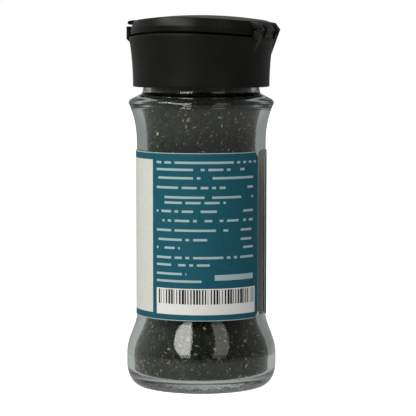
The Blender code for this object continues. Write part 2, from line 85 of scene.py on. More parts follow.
def newMaterial(name, values):
    material = bpy.data.materials.new(name)
    material.use_nodes = True
    tree = material.node_tree
    shader = tree.nodes["Principled BSDF"]
    for key, value in values.items():
        shader.inputs[key].default_value = value
    return material, tree, shader


def colourRamp(tree, factor, stops):
    # each stop is a place and a hex colour or grey level
    node = addNode(tree, "ShaderNodeValToRGB", inputs={"Fac": factor})
    ramp = node.color_ramp
    while len(ramp.elements) < len(stops):
        ramp.elements.new(0.5)
    for element, (place, colour) in zip(ramp.elements, stops):
        element.position = place
        element.color = linear(colour) if isinstance(colour, str) else grey(colour)
    return node.outputs["Color"]


def grey(value):
    return (value, value, value, 1.0)


def calculate(tree, operation, first, second=0.0, third=0.0):
    values = {0: first, 1: second, 2: third}
    return addNode(tree, "ShaderNodeMath", {"operation": operation}, values).outputs[0]


def multiply(tree, first, second):
    return calculate(tree, "MULTIPLY", first, second)


def mixColour(tree, factor, low, high):
    return addNode(tree, "ShaderNodeMix", {"data_type": "RGBA"}, {0: factor, 6: low, 7: high}).outputs[2]


def mapRange(tree, value, source, target, shape="LINEAR"):
    return addNode(tree, "ShaderNodeMapRange", {"interpolation_type": shape}, {
        "Value": value, "From Min": source[0], "From Max": source[1],
        "To Min": target[0], "To Max": target[1],
    }).outputs[0]


def objectPlace(tree):
    return addNode(tree, "ShaderNodeTexCoord").outputs["Object"]


def noise(tree, scale, detail):
    inputs = {"Vector": objectPlace(tree), "Scale": scale, "Detail": detail}
    return addNode(tree, "ShaderNodeTexNoise", inputs=inputs).outputs["Fac"]


def cells(tree, scale):
    inputs = {"Vector": objectPlace(tree), "Scale": scale}
    return addNode(tree, "ShaderNodeTexVoronoi", inputs=inputs).outputs["Distance"]


def bumpSurface(tree, shader, strength, distance, height):
    bump = addNode(tree, "ShaderNodeBump", inputs={
        "Strength": strength, "Distance": distance, "Height": height,
    })
    feed(shader, "Normal", bump.outputs[0])
    return bump


# outlines: (radius, height) points, in metres

def arcPoints(centre, radii, start, end, steps):
    angles = [math.radians(start + (end - start) * i / steps) for i in range(steps + 1)]
    return [(centre[0] + radii[0] * math.cos(a), centre[1] + radii[1] * math.sin(a)) for a in angles]


def risingCurve(start, end, steps, spread):
    # rises evenly while the radius follows spread, from 0 to 1
    shares = [i / steps for i in range(steps + 1)]
    return [
        (start[0] + (end[0] - start[0]) * spread(share), start[1] + (end[1] - start[1]) * share)
        for share in shares
    ]


def easeCurve(start, end, steps):
    return risingCurve(start, end, steps, lambda share: (1 - math.cos(math.pi * share)) / 2)


def flareCurve(start, end, power, steps):
    return risingCurve(start, end, steps, lambda share: share**power)


def rounded(corners, closed=False):
    # each corner is (radius, height) or (radius, height, rounding)
    points = []
    count = len(corners)
    for i, corner in enumerate(corners):
        here = Vector(corner[:2])
        rounding = corner[2] if len(corner) > 2 else 0.0
        if rounding == 0.0 or (not closed and i in (0, count - 1)):
            points.append(tuple(here))
            continue
        back = Vector(corners[i - 1][:2]) - here
        ahead = Vector(corners[(i + 1) % count][:2]) - here
        angle = back.angle(ahead)
        reach = min(rounding / math.tan(angle / 2), 0.47 * back.length, 0.47 * ahead.length)
        back.normalize()
        ahead.normalize()
        radius = reach * math.tan(angle / 2)
        centre = here + (back + ahead).normalized() * radius / math.sin(angle / 2)
        first = here + back * reach - centre
        last = here + ahead * reach - centre
        sweep = first.angle_signed(last)
        steps = max(2, math.ceil(abs(sweep) / math.radians(15)))
        for k in range(steps + 1):
            turn = Matrix.Rotation(-sweep * k / steps, 2)
            points.append(tuple(centre + turn @ first))
    return points


# meshes

def placeMesh(name, mesh):
    piece = bpy.data.objects.new(name, mesh)
    bpy.context.scene.collection.objects.link(piece)
    return piece


def newPiece(name, bm, recalculate=True):
    if recalculate:
        bmesh.ops.recalc_face_normals(bm, faces=bm.faces)
    mesh = bpy.data.meshes.new(name)
    bm.to_mesh(mesh)
    bm.free()
    return placeMesh(name, mesh)


def lathe(name, outline, sides, closed=False, sector=math.tau, start=0.0):
    full = math.isclose(sector, math.tau)
    columns = sides if full else sides + 1
    angles = [start + sector * i / sides for i in range(columns)]
    turns = [(math.cos(angle), math.sin(angle)) for angle in angles]
    bm = bmesh.new()
    rings = []
    for radius, height in outline:
        if radius < 1e-7:
            rings.append([bm.verts.new((0, 0, height))])
        else:
            rings.append([bm.verts.new((radius * c, radius * s, height)) for c, s in turns])
    pairs = list(zip(rings, rings[1:]))
    if closed:
        pairs.append((rings[-1], rings[0]))
    for low, high in pairs:
        for i in range(sides):
            j = (i + 1) % columns
            corners = [low[i % len(low)], low[j % len(low)], high[j % len(high)], high[i % len(high)]]
            bm.faces.new(list(dict.fromkeys(corners)))
    if not full:
        bm.faces.new([ring[0] for ring in rings])
        bm.faces.new([ring[-1] for ring in rings])
    return newPiece(name, bm)


def sidePrism(name, outline, lowX, highX):
    bm = bmesh.new()
    face = bm.faces.new([bm.verts.new((lowX, y, z)) for y, z in outline])
    pushed = bmesh.ops.extrude_face_region(bm, geom=[face])["geom"]
    moved = [v for v in pushed if isinstance(v, bmesh.types.BMVert)]
    bmesh.ops.translate(bm, verts=moved, vec=(highX - lowX, 0, 0))
    return newPiece(name, bm)


def dropPieces(pieces):
    for piece in pieces:
        bpy.data.objects.remove(piece, do_unlink=True)


def shapedMesh(piece):
    # the mesh with its modifiers worked in; the piece loses them
    depsgraph = bpy.context.evaluated_depsgraph_get()
    mesh = bpy.data.meshes.new_from_object(piece.evaluated_get(depsgraph))
    piece.modifiers.clear()
    return mesh


def addBoolean(piece, operation):
    modifier = piece.modifiers.new("boolean", "BOOLEAN")
    modifier.operation = operation
    modifier.solver = "EXACT"
    return modifier


def cutAway(piece, cutters):
    for cutter in cutters:
        addBoolean(piece, "DIFFERENCE").object = cutter
    piece.data = shapedMesh(piece)
    dropPieces(cutters)


def softenEdges(piece, width, angle=35):
    modifier = piece.modifiers.new("edges", "BEVEL")
    modifier.width = width
    modifier.segments = 3
    modifier.limit_method = "ANGLE"
    modifier.angle_limit = math.radians(angle)
    piece.data = shapedMesh(piece)


def shadeSmooth(piece, angle=40):
    piece.data.shade_smooth()
    piece.data.set_sharp_from_angle(angle=math.radians(angle))


def joinInto(target, others):
    bm = bmesh.new()
    for piece in [target, *others]:
        bm.from_mesh(piece.data)
    bm.to_mesh(target.data)
    bm.free()
    dropPieces(others)


def finishPiece(piece, body, node, materials):
    piece.data.materials.clear()
    for material in materials:
        piece.data.materials.append(material)
    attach(piece, body)
    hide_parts(node)
    triangles = sum(len(face.vertices) - 2 for face in piece.data.polygons)
    print(f"{piece.name}: {triangles} triangles")


# glass jar

jarSizes = {
    "sides": 256,
    "standInner": 14.5 * mm,
    "stand": 18.5 * mm,
    "puntRise": 1.4 * mm,
    "foot": 23.0 * mm,
    "heel": 6.9 * mm,
    "footTop": 10.2 * mm,
    "waist": 19.8 * mm,
    "waistBottom": 23.2 * mm,
    "waistTop": 74.0 * mm,
    "shoulder": 22.25 * mm,
    "shoulderHeight": 86.9 * mm,
    "shoulderRounding": 1.57 * mm,
    "flarePower": 2.4,
    "neck": 17.74 * mm,
    "neckBottom": 90.5 * mm,
    "neckBead": 18.5 * mm,
    "neckBeadHeight": 98.1 * mm,
    "height": 103.1 * mm,
    "wellFoot": 20.8 * mm,
    "wellFloor": 3.6 * mm,
    "wellCorner": 2.5 * mm,
    "wellFootTop": 9.4 * mm,
    "wellWaist": 16.8 * mm,
    "wellShoulder": 18.7 * mm,
    "wellShoulderHeight": 86.1 * mm,
    "wellShoulderRounding": (1.8 * mm, 2.6 * mm),
    "mouth": 15.7 * mm,
}


def jarOutside(s):
    heelCentre = (s["stand"], s["heel"])
    heelRadii = (s["foot"] - s["stand"], s["heel"])
    shoulderCentre = (s["shoulder"] - s["shoulderRounding"], s["shoulderHeight"])
    punt = [
        (s["standInner"] * share, s["puntRise"] * (1 - share**2.6))
        for share in (0.0, 0.15, 0.3, 0.45, 0.6, 0.72, 0.83, 0.93)
    ]
    bead = s["neckBeadHeight"]
    neck = rounded([
        (s["neck"] + 3.4 * mm, s["neckBottom"] - 2.1 * mm),
        (s["neck"] + 0.35 * mm, s["neckBottom"] - 0.55 * mm, 1.1 * mm),
        (s["neck"], s["neckBottom"] + 1.5 * mm, 0.6 * mm),
        (s["neck"], bead - 1.5 * mm, 0.5 * mm),
        (s["neckBead"], bead - 0.5 * mm, 0.4 * mm),
        (s["neckBead"], bead + 0.6 * mm, 0.4 * mm),
        (s["neck"], bead + 1.9 * mm, 0.5 * mm),
        (s["neck"], s["height"], 0.6 * mm),
        (s["mouth"], s["height"], 0.5 * mm),
        (s["mouth"], s["neckBottom"]),
    ])
    return (
        punt
        + rounded([punt[-1], (s["standInner"], 0.0, 0.5 * mm), (s["stand"], 0.0)])[1:-1]
        + arcPoints(heelCentre, heelRadii, -90, 0, 26)
        + easeCurve((s["foot"], s["footTop"]), (s["waist"], s["waistBottom"]), 30)
        + flareCurve((s["waist"], s["waistTop"]), (s["shoulder"], s["shoulderHeight"]), s["flarePower"], 26)
        + arcPoints(shoulderCentre, (s["shoulderRounding"],) * 2, 6, 64, 12)
        + neck[1:-1]
    )


def jarWell(s):
    corner = (s["wellFoot"] - s["wellCorner"], s["wellFloor"] + s["wellCorner"])
    rounding = s["wellShoulderRounding"]
    shoulder = (s["wellShoulder"] - rounding[0], s["wellShoulderHeight"])
    neckFoot = shoulder[1] + rounding[1] + 1.3 * mm
    wall = flareCurve(
        (s["wellWaist"], s["waistTop"]), (s["wellShoulder"], s["wellShoulderHeight"]), s["flarePower"], 24
    )
    turn = rounded([
        (s["mouth"], s["neckBottom"] + 3 * mm),
        (s["mouth"], neckFoot, 1.2 * mm),
        (shoulder[0], shoulder[1] + rounding[1]),
    ])
    return (
        turn
        + arcPoints(shoulder, rounding, 84, 6, 10)
        + wall[::-1]
        + easeCurve((s["wellWaist"], s["waistBottom"]), (s["wellFoot"], s["wellFootTop"]), 26)
        + arcPoints(corner, (s["wellCorner"],) * 2, 0, -90, 12)
        + [(s["wellFoot"] * 0.5, s["wellFloor"]), (0.0, s["wellFloor"])]
    )


def clearGlass():
    # soda-lime container glass, blown in a mould: sharp reflections, faint green in the thick foot, slow
    # waves in the wall, and a stippled bearing ring that breaks up the light
    material, tree, shader = newMaterial("sodaLimeGlass", {
        "Base Color": linear("#eef7f1"), "Roughness": 0.0, "IOR": 1.52, "Transmission Weight": 1.0,
    })
    place = objectPlace(tree)
    height = addNode(tree, "ShaderNodeSeparateXYZ", inputs={0: place}).outputs["Z"]
    waves = noise(tree, 70.0, 1.0)  # 14 mm
    stipple = cells(tree, 1100.0)  # 0.9 mm grain
    low = mapRange(tree, height, (1.2 * mm, 3.4 * mm), (1.0, 0.0), "SMOOTHSTEP")
    slow = bumpSurface(tree, shader, 0.12, 0.25 * mm, waves)
    rough = bumpSurface(tree, shader, 0.5, 0.3 * mm, multiply(tree, stipple, low))
    feed(rough, "Normal", slow.outputs[0])
    # lamps shine through the wall, as they do through real glass
    shadow = addNode(tree, "ShaderNodeLightPath").outputs["Is Shadow Ray"]
    clear = addNode(tree, "ShaderNodeBsdfTransparent", inputs={"Color": linear("#e6eeea")})
    mix = addNode(tree, "ShaderNodeMixShader", inputs={0: shadow, 1: shader.outputs[0], 2: clear.outputs[0]})
    output = tree.nodes["Material Output"]
    feed(output, "Surface", mix.outputs[0])
    return material


def makeJar():
    jar = lathe("glassJar", jarOutside(jarSizes) + jarWell(jarSizes), jarSizes["sides"])
    shadeSmooth(jar)
    finishPiece(jar, "jar", "glass_jar", [clearGlass()])


# wakame flakes

flakeSizes = {
    "gap": 0.12 * mm,  # to the glass
    "top": 100.7 * mm,
    "bedDepth": 0.55 * mm,  # how far the fine bed lies behind the outermost flakes
    "bedPitch": 0.6 * mm,
    "bedSides": 220,
    "bedRelief": 0.45 * mm,
    "layerDepth": 0.28 * mm,  # of the surface that the loose flakes are thrown on
    "layerPitch": 2.0 * mm,
    "layerSides": 96,
    "dark": {"count": 9500, "length": (0.9 * mm, 2.6 * mm), "tilt": 16.0, "seed": 7},
    "pale": {"count": 4600, "length": (0.25 * mm, 1.9 * mm), "tilt": 8.0, "seed": 47},
    "bitsTop": 86 * mm,  # in the neck only dark flakes lie against the glass
    "splinterWidths": (0.1, 0.13, 0.17, 0.24, 0.36, 0.6),  # shares of the length
    "seed": 7,
}


def flakesReach(s, jar):
    # the well, a gap inside the glass, from the floor up to where the flakes end in the neck
    floor = jar["wellFloor"] + s["gap"]
    wall = [(max(0.0, r - s["gap"]), max(floor, z)) for r, z in jarWell(jar)[::-1]]
    wall = [point for point in wall if point[1] < jar["neckBottom"]]
    neck = jar["mouth"] - s["gap"]
    crown = rounded([(neck, jar["neckBottom"]), (neck, s["top"], 3.5 * mm), (0.0, s["top"])])
    return wall + crown[1:-1] + [(0.5 * neck, s["top"] + 0.4 * mm), (0.0, s["top"] + 0.6 * mm)]


def evenlySpaced(points, pitch):
    spaced = [points[0]]
    for start, end in zip(points, points[1:]):
        rows = max(1, round(math.dist(start, end) / pitch))
        spaced += flareCurve(start, end, 1, rows)[1:]
    return spaced


def keepInside(mesh, reach, sides):
    # no corner of a flake passes the reach; the polygon of a coarse ring is allowed for
    wall = sorted((z, r) for r, z in reach if r > 10 * mm)
    heights = np.array([z for z, r in wall])
    radii = np.array([r for z, r in wall])
    points = np.empty(len(mesh.vertices) * 3)
    mesh.vertices.foreach_get("co", points)
    points = points.reshape(-1, 3)
    points[:, 2] = np.clip(points[:, 2], reach[0][1] + 0.02 * mm, None)
    limit = np.interp(points[:, 2], heights, radii) * math.cos(math.pi / sides)
    away = np.hypot(points[:, 0], points[:, 1])
    shrink = np.where(away > limit, limit / np.maximum(away, 1e-9), 1.0)
    points[:, 0] *= shrink
    points[:, 1] *= shrink
    mesh.vertices.foreach_set("co", points.ravel())
    mesh.update()


def flakeShape(name, draw, corners, thickness, curl, narrow):
    # an irregular chip about 1 long and 0.6 wide, flat or a little curled
    bm = bmesh.new()
    rim = []
    for i in range(corners):
        angle = math.tau * (i + draw.uniform(-0.3, 0.3)) / corners
        radius = 0.5 * draw.uniform(0.65, 1.0)
        x = radius * math.cos(angle)
        rim.append((x, narrow * radius * math.sin(angle), curl * (x * x - 0.1) + draw.uniform(-0.04, 0.04)))
    top = [bm.verts.new((x, y, z + thickness / 2)) for x, y, z in rim]
    low = [bm.verts.new((0.9 * x, 0.9 * y, z - thickness / 2)) for x, y, z in rim]
    bm.faces.new(top)
    bm.faces.new(low[::-1])
    for i in range(corners):
        j = (i + 1) % corners
        bm.faces.new((top[j], top[i], low[i], low[j]))
    return newPiece(name, bm)


def newTree(name, sockets):
    # a tree that takes a geometry and the named sockets, and gives a geometry
    tree = bpy.data.node_groups.new(name, "GeometryNodeTree")
    for label, kind in {"Geometry": "Geometry", **sockets}.items():
        tree.interface.new_socket(label, in_out="INPUT", socket_type="NodeSocket" + kind)
    tree.interface.new_socket("Geometry", in_out="OUTPUT", socket_type="NodeSocketGeometry")
    return tree, addNode(tree, "NodeGroupInput").outputs


def endTree(tree, geometry, material):
    real = addNode(tree, "GeometryNodeRealizeInstances", inputs={0: geometry})
    coated = addNode(tree, "GeometryNodeSetMaterial", inputs={0: real.outputs[0], "Material": material})
    addNode(tree, "NodeGroupOutput", inputs={0: coated.outputs[0]})


def scatterTree(name):
    # throws shapes over a surface, each lying in it, with its own length, turn and shade
    tree, given = newTree(name, {
        "Shapes": "Collection", "Count per square metre": "Float", "Shortest": "Float", "Longest": "Float",
        "Tilt": "Float", "Seed": "Int", "Material": "Material",
    })
    points = addNode(tree, "GeometryNodeDistributePointsOnFaces", {"distribute_method": "RANDOM"}, {
        "Mesh": given["Geometry"], "Density": given["Count per square metre"], "Seed": given["Seed"],
    })
    shapes = addNode(tree, "GeometryNodeCollectionInfo", inputs={
        "Collection": given["Shapes"], "Separate Children": True, "Reset Children": True,
    })

    def draw(kind, low, high, offset):
        least, most, drawn = {"FLOAT": (2, 3, 1), "FLOAT_VECTOR": (0, 1, 0)}[kind]
        return addNode(tree, "FunctionNodeRandomValue", {"data_type": kind}, {
            "Seed": calculate(tree, "ADD", given["Seed"], offset), least: low, most: high,
        }).outputs[drawn]

    lean = multiply(tree, given["Tilt"], -1.0)
    turn = addNode(tree, "ShaderNodeCombineXYZ", inputs={
        "X": draw("FLOAT", lean, given["Tilt"], 1),
        "Y": draw("FLOAT", lean, given["Tilt"], 2),
        "Z": draw("FLOAT", -math.pi, math.pi, 3),
    })
    local = addNode(tree, "FunctionNodeEulerToRotation", inputs={0: turn.outputs[0]})
    lying = addNode(tree, "FunctionNodeRotateRotation", {"rotation_space": "LOCAL"}, {
        "Rotation": points.outputs["Rotation"], "Rotate By": local.outputs[0],
    })
    length = draw("FLOAT", given["Shortest"], given["Longest"], 4)
    spread = addNode(tree, "ShaderNodeVectorMath", {"operation": "SCALE"}, {
        0: draw("FLOAT_VECTOR", (0.9, 0.5, 0.7), (1.1, 1.2, 1.2), 5), "Scale": length,
    })
    placed = addNode(tree, "GeometryNodeInstanceOnPoints", inputs={
        "Points": points.outputs["Points"], "Instance": shapes.outputs[0], "Pick Instance": True,
        "Rotation": lying.outputs[0], "Scale": spread.outputs[0],
    })
    shaded = addNode(tree, "GeometryNodeStoreNamedAttribute", {"data_type": "FLOAT", "domain": "INSTANCE"}, {
        "Geometry": placed.outputs[0], "Name": "shade", "Value": draw("FLOAT", 0.0, 1.0, 6),
    })
    endTree(tree, shaded.outputs[0], given["Material"])
    return tree


def runTree(name, carrier, tree, values):
    # values by socket name; the modifier takes them by the socket's identifier
    modifier = carrier.modifiers.new("nodes", "NODES")
    modifier.node_group = tree
    for item in tree.interface.items_tree:
        if item.in_out == "INPUT" and item.name in values:
            modifier[item.identifier] = values[item.name]
    mesh = shapedMesh(carrier)
    mesh.name = name
    return placeMesh(name, mesh)


def shapeCollection(name, shapes):
    group = bpy.data.collections.new(name)
    bpy.context.scene.collection.children.link(group)
    for shape in shapes:
        bpy.context.scene.collection.objects.unlink(shape)
        group.objects.link(shape)
    return group


def dropCollection(group):
    dropPieces(list(group.objects))
    bpy.data.collections.remove(group)


def driedSeaweed():
    # dried, crushed kelp blades: matt and nearly black, with olive and brown lights and a faint waxy sheen
    material, tree, shader = newMaterial("driedSeaweed", {"Roughness": 0.8, "Specular IOR Level": 0.12})
    shade = addNode(tree, "ShaderNodeAttribute", {"attribute_name": "shade"}).outputs["Fac"]
    clouds = noise(tree, 420.0, 4.0)  # 2.4 mm
    grain = noise(tree, 2600.0, 3.0)  # 0.4 mm
    tone = calculate(tree, "MULTIPLY_ADD", clouds, 0.55, multiply(tree, shade, 0.5))
    colour = colourRamp(tree, tone, [
        (0.0, "#090a08"), (0.35, "#141611"), (0.62, "#20221b"), (0.82, "#302f25"), (1.0, "#484433"),
    ])
    feed(shader, "Base Color", colour)
    bumpSurface(tree, shader, 0.6, 0.15 * mm, grain)
    return material


def paleBits():
    # bits of stalk and spice among the flakes: straw, tan and a few pinkish or grey ones, fibrous and matt
    material, tree, shader = newMaterial("strawBits", {"Roughness": 0.65, "Specular IOR Level": 0.3})
    shade = addNode(tree, "ShaderNodeAttribute", {"attribute_name": "shade"}).outputs["Fac"]
    fibre = noise(tree, 3200.0, 2.0)  # 0.3 mm
    colour = colourRamp(tree, shade, [
        (0.0, "#57523a"), (0.3, "#6b6442"), (0.5, "#8e7b50"), (0.7, "#a88f5e"),
        (0.84, "#c4aa78"), (0.9, "#b58a62"), (0.95, "#c9c3ae"), (1.0, "#ddd8c8"),
    ])
    worn = mixColour(tree, multiply(tree, fibre, 0.5), colour, linear("#4a442c"))
    feed(shader, "Base Color", worn)
    bumpSurface(tree, shader, 0.5, 0.1 * mm, fibre)
    return material


def settle(piece, reach, material):
    keepInside(piece.data, reach, jarSizes["sides"])
    piece.data.shade_flat()
    finishPiece(piece, "jar", "wakame_flakes", [material])


def throwShapes(name, shapes, carrier, area, reach, material, s):
    # the count in s is for the whole area of the layer that the shapes are thrown on
    group = shapeCollection(name + "Shapes", shapes)
    thrown = runTree(name, carrier, scatterTree(name + "Tree"), {
        "Shapes": group, "Count per square metre": s["count"] / area,
        "Shortest": s["length"][0], "Longest": s["length"][1],
        "Tilt": math.radians(s["tilt"]), "Seed": s["seed"], "Material": material,
    })
    dropCollection(group)
    settle(thrown, reach, material)


def makeFlakes():
    s = flakeSizes
    draw = random.Random(s["seed"])
    reach = flakesReach(s, jarSizes)
    # the bed behind the loose flakes, rough all over, its tones kept darker than theirs as painted shade
    # deep among the flakes
    inner = [(max(0.0, r - s["bedDepth"]), max(z, reach[0][1] + s["bedDepth"])) for r, z in reach]
    bed = lathe("wakameBed", evenlySpaced(inner, s["bedPitch"]), s["bedSides"])
    roughen(bed, s["bedRelief"], draw)
    # painted shade: the bed's tones stop short of the lightest tones of the loose flakes
    attribute = bed.data.attributes.new("shade", "FLOAT", "POINT")
    attribute.data.foreach_set("value", [draw.uniform(0.1, 0.6) for _ in bed.data.vertices])
    dark = driedSeaweed()
    settle(bed, reach, dark)

    layer = [(max(0.0, r - s["layerDepth"]), z) for r, z in evenlySpaced(reach, s["layerPitch"])]
    carrier = lathe("carrier", layer, s["layerSides"])
    area = sum(face.area for face in carrier.data.polygons)
    chips = [
        flakeShape(f"chip{i}", draw, 5 + i % 3, 0.1, draw.uniform(-0.35, 0.5), draw.uniform(0.55, 0.95))
        for i in range(7)
    ]
    throwShapes("wakameFlakes", chips, carrier, area, reach, dark, s["dark"])
    low = bmesh.new()
    low.from_mesh(carrier.data)
    high = [face for face in low.faces if face.calc_center_median().z > s["bitsTop"]]
    bmesh.ops.delete(low, geom=high, context="FACES")
    low.to_mesh(carrier.data)
    low.free()

    splinters = [
        flakeShape(f"splinter{i}", draw, 5 + i % 2, 0.16, draw.uniform(-0.5, 0.5), width)
        for i, width in enumerate(s["splinterWidths"])
    ]
    throwShapes("strawBits", splinters, carrier, area, reach, paleBits(), s["pale"])
    dropPieces([carrier])


def roughen(piece, depth, draw):
    bm = bmesh.new()
    bm.from_mesh(piece.data)
    bm.normal_update()
    moves = [(vert, -vert.normal * draw.uniform(0.0, depth)) for vert in bm.verts]
    for vert, move in moves:
        vert.co += move
    bm.to_mesh(piece.data)
    bm.free()


# label

labelSizes = {
    "radius": 20.1 * mm,
    "thickness": 0.15 * mm,
    "bottom": 22.25 * mm,
    "top": 72.65 * mm,
    "corner": 3.0 * mm,
    "seamWidth": 5.6 * mm,
    "seamCentre": 0.35 * mm,  # to the +X side of the hinge
    "columns": 300,
    "rows": 24,
}

# places on the label: degrees round the jar from the front, and millimetres above the stand
labelPrint = {
    "frontPanel": (-65.5, 65.5, 24.3, 70.5),
    "barPanel": (70.0, 165.5, 24.1, 32.0),
    "bars": (71.6, 163.6, 27.3, 31.7),
    "barPitch": 2.5,  # degrees
    "cutEdgeAndHighlight": (0.5, 0.22),  # degrees at the ends, mm at the top and bottom
    "rowHeight": 0.7,
    "wordPitch": 1.15,  # mm; one cell of a row, some of which are left as gaps
    "rows": [
        (69.8, 70.2, 167.0), (67.7, 70.2, 152.2), (65.2, 70.2, 111.2), (65.2, 121.6, 162.9),
        (62.3, 70.2, 133.1), (62.3, 155.7, 162.9), (59.4, 76.5, 148.5), (59.4, 151.6, 162.9),
        (57.8, 76.5, 133.5), (55.2, 70.2, 125.4), (55.2, 150.7, 162.7), (52.4, 76.5, 145.7),
        (52.4, 150.7, 162.7), (49.5, 70.2, 135.6), (49.5, 148.0, 162.7), (46.7, 70.2, 117.0),
        (46.7, 148.0, 162.7), (44.2, 70.2, 93.2), (44.2, 148.0, 162.7), (41.3, 70.2, 163.0),
        (39.1, 70.2, 119.2), (36.4, 70.2, 99.0), (34.2, 70.2, 112.2),
    ],
    "largeRow": (35.3, 123.5, 162.7, 1.7),
    "backStart": -163.0,
    "backRows": [
        (67.6, -82.0), (64.6, -74.0), (61.5, -96.0), (56.5, -78.0), (53.5, -71.0), (50.4, -112.0),
        (45.4, -84.0), (42.3, -75.0), (39.3, -122.0),
    ],
}


def makeLabel():
    s = labelSizes
    half = s["seamWidth"] / 2
    ends = [math.asin((s["seamCentre"] + side * half) / s["radius"]) for side in (1, -1)]
    # the angle runs from the front: -Y is 0 and +X is a quarter turn
    first = -math.pi - ends[1]
    last = math.pi - ends[0]
    arc = (last - first) * s["radius"]
    corner = s["corner"]
    places = [corner * (1 - math.cos(math.pi / 2 * i / 10)) for i in range(10)]
    middle = [corner + (arc - 2 * corner) * i / s["columns"] for i in range(s["columns"] + 1)]
    places = places + middle + [arc - place for place in places[::-1]]
    bm = bmesh.new()
    layer = bm.loops.layers.uv.new("UVMap")
    columns = []
    for place in places:
        nearest = min(place, arc - place)
        cut = corner - math.sqrt(max(0.0, corner**2 - max(0.0, corner - nearest) ** 2))
        low, high = s["bottom"] + cut, s["top"] - cut
        angle = first + place / s["radius"]
        column = []
        for k in range(s["rows"] + 1):
            z = low + (high - low) * k / s["rows"]
            vert = bm.verts.new((s["radius"] * math.sin(angle), -s["radius"] * math.cos(angle), z))
            column.append((vert, place, z))
        columns.append(column)
    for left, right in zip(columns, columns[1:]):
        for k in range(s["rows"]):
            corners = [left[k], right[k], right[k + 1], left[k + 1]]
            face = bm.faces.new([vert for vert, place, z in corners])
            for loop, (vert, place, z) in zip(face.loops, corners):
                loop[layer].uv = (place / arc, (z - s["bottom"]) / (s["top"] - s["bottom"]))
    label = newPiece("paperLabel", bm, recalculate=False)
    solid = label.modifiers.new("thickness", "SOLIDIFY")
    solid.thickness = s["thickness"]
    solid.offset = -1
    solid.material_offset = solid.material_offset_rim = 1
    label.data.materials.append(None)
    label.data.materials.append(None)
    label.data = shapedMesh(label)
    shadeSmooth(label, 50)
    paper = [printedPaper(arc, first), barePaper()]
    slots = [face.material_index for face in label.data.polygons]
    finishPiece(label, "jar", "label", paper)
    label.data.polygons.foreach_set("material_index", slots)


def barePaper():
    # the uncoated back and cut edge of the paper: white, matt, fibrous
    material, tree, shader = newMaterial("barePaper", {"Roughness": 0.85, "Specular IOR Level": 0.2})
    fibre = noise(tree, 2500.0, 4.0)  # 0.4 mm
    colour = colourRamp(tree, fibre, [(0.3, "#c9c8c0"), (0.7, "#dededa")])
    feed(shader, "Base Color", colour)
    return material


def boxMask(tree, across, along, box):
    # 1 inside a box of degrees and millimetres
    left, right, low, high = box
    wide = calculate(tree, "COMPARE", across, (left + right) / 2, (right - left) / 2)
    tall = calculate(tree, "COMPARE", along, (low + high) / 2, (high - low) / 2)
    return multiply(tree, wide, tall)


def printedPaper(arc, first):
    # satin coated paper, offset printed in teal: an even ink film with a faint mottle, a soft sheen, and a
    # thin pale line where the sheet is cut, which is the bare paper edge drawn wider with a painted
    # highlight along it
    s, p = labelSizes, labelPrint
    material, tree, shader = newMaterial("printedPaper", {"Specular IOR Level": 0.12})
    uv = addNode(tree, "ShaderNodeUVMap", {"uv_map": "UVMap"}).outputs[0]
    split = addNode(tree, "ShaderNodeSeparateXYZ", inputs={0: uv})
    start, sweep = math.degrees(first), math.degrees(arc / s["radius"])
    bottom, top = s["bottom"] / mm, s["top"] / mm
    degrees = calculate(tree, "MULTIPLY_ADD", split.outputs["X"], sweep, start)
    height = calculate(tree, "MULTIPLY_ADD", split.outputs["Y"], top - bottom, bottom)

    # rows of word-long dashes, in place of print
    cell = calculate(tree, "DIVIDE", degrees, math.degrees(p["wordPitch"] * mm / s["radius"]))
    half = p["rowHeight"] / 2
    number = 0.0
    back = [(z, p["backStart"], right) for z, right in p["backRows"]]
    for i, (z, left, right) in enumerate(p["rows"] + back):
        row = boxMask(tree, degrees, height, (left, right, z - half, z + half))
        number = calculate(tree, "MULTIPLY_ADD", row, i + 1.0, number)
    key = addNode(tree, "ShaderNodeCombineXYZ", inputs={0: calculate(tree, "FLOOR", cell), 1: number})
    dice = addNode(tree, "ShaderNodeTexWhiteNoise", {"noise_dimensions": "2D"}, {"Vector": key.outputs[0]})
    words = calculate(tree, "GREATER_THAN", dice.outputs["Value"], 0.2)
    rows = multiply(tree, calculate(tree, "GREATER_THAN", number, 0.5), words)
    z, left, right, tall = p["largeRow"]
    large = boxMask(tree, degrees, height, (left, right, z - tall / 2, z + tall / 2))
    rows = calculate(tree, "MAXIMUM", rows, large)

    # stripes at an even pitch and of uneven width on the white panel, which code nothing
    stripe = calculate(tree, "FRACT", calculate(tree, "DIVIDE", degrees, p["barPitch"]))
    slow = calculate(tree, "SINE", multiply(tree, degrees, 0.47))
    quick = calculate(tree, "SINE", multiply(tree, degrees, 1.9))
    thick = calculate(tree, "MULTIPLY_ADD", calculate(tree, "ADD", slow, quick), 0.18, 0.5)
    dark = calculate(tree, "LESS_THAN", stripe, thick)
    bars = multiply(tree, dark, boxMask(tree, degrees, height, p["bars"]))

    mottle = noise(tree, 900.0, 5.0)  # 1.1 mm
    fibre = noise(tree, 4200.0, 2.0)  # 0.24 mm
    teal = colourRamp(tree, mottle, [(0.3, "#185463"), (0.7, "#1d5a68")])
    cream = colourRamp(tree, mottle, [(0.3, "#cfd1ca"), (0.7, "#d7d9d2")])
    white = linear("#e4e5e2")
    colour = mixColour(tree, boxMask(tree, degrees, height, p["frontPanel"]), teal, cream)
    colour = mixColour(tree, rows, colour, linear("#a3bcc0"))
    colour = mixColour(tree, boxMask(tree, degrees, height, p["barPanel"]), colour, white)
    colour = mixColour(tree, bars, colour, linear("#1b1c1c"))

    # the cut edge of the sheet: a pale line that is the bare paper edge drawn wider, with a painted
    # highlight along it
    side, edge = p["cutEdgeAndHighlight"]
    inside = boxMask(tree, degrees, height, (start + side, start + sweep - side, bottom + edge, top - edge))
    colour = mixColour(tree, inside, linear("#a9bcbd"), colour)
    feed(shader, "Base Color", colour)

    sheen = mapRange(tree, mottle, (0.0, 1.0), (0.42, 0.56))
    feed(shader, "Roughness", sheen)
    bumpSurface(tree, shader, 0.25, 0.04 * mm, fibre)
    return material


# cap

